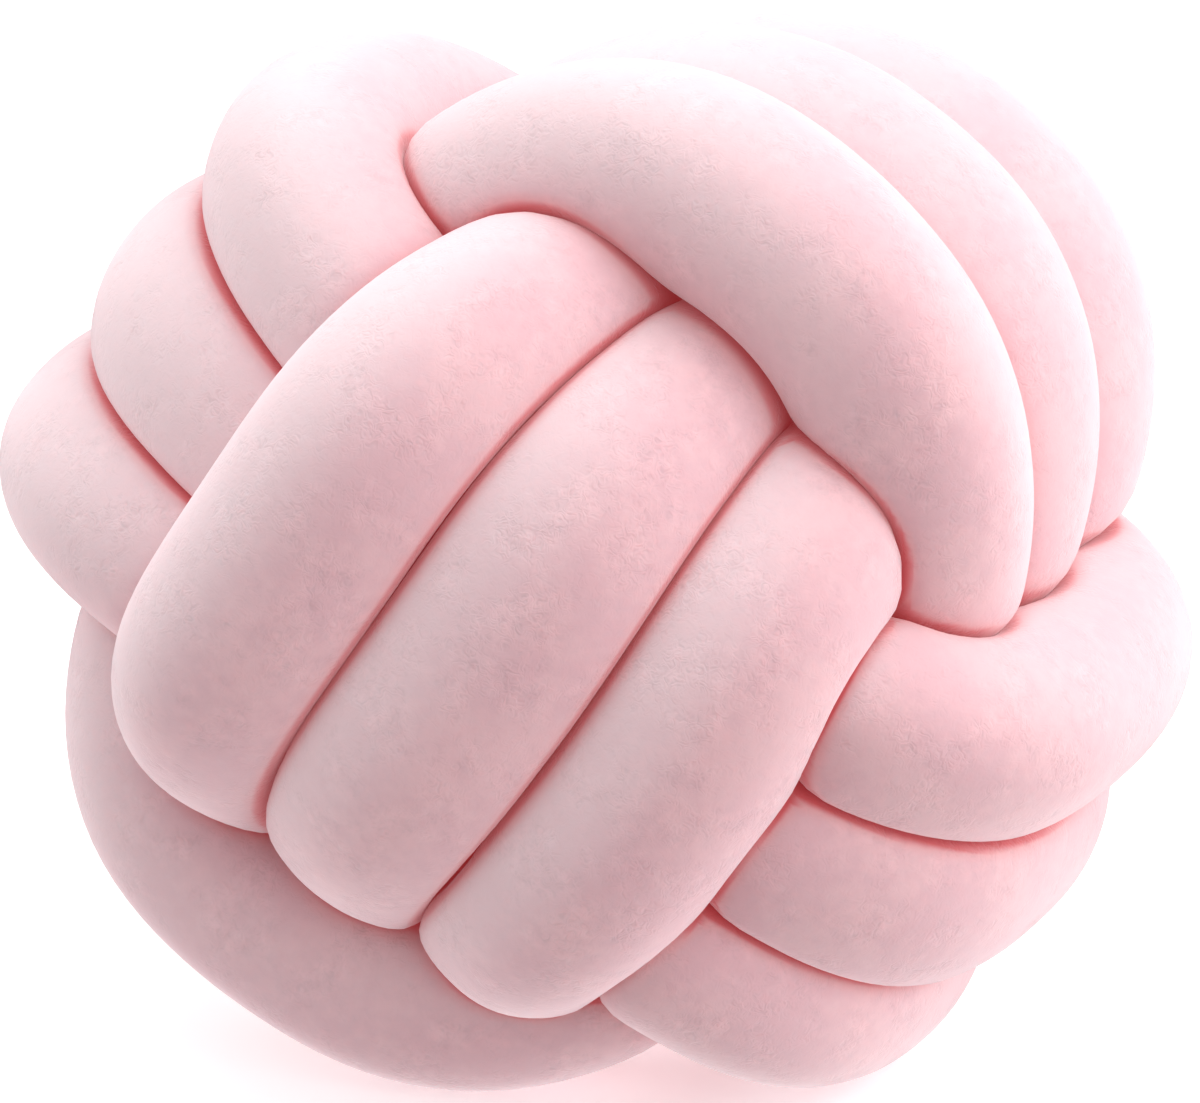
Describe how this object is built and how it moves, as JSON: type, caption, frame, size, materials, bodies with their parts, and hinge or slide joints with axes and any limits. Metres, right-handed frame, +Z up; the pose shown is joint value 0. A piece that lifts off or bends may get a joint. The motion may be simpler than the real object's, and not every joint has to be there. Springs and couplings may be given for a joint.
{
  "type": "knot cushion",
  "caption": "Ball-shaped knot cushion: a long stuffed velour tube wound in crossed bands of fat rounded fingers, with a small flat spot to rest on.",
  "frame": {"origin": "centre of the bounding box's underside, on the surface the ball rests on", "axes": "+Z up as it rests, -Y towards the side that the picture shows, +X to the right in the picture"},
  "size_m": [0.2986, 0.2816, 0.2609],
  "materials": {
    "pink_velour": "short soft velour pile, matt with a pale sheen"
  },
  "bodies": {
    "root": {"knotted_tube": "pink_velour"}
  },
  "joints": []
}
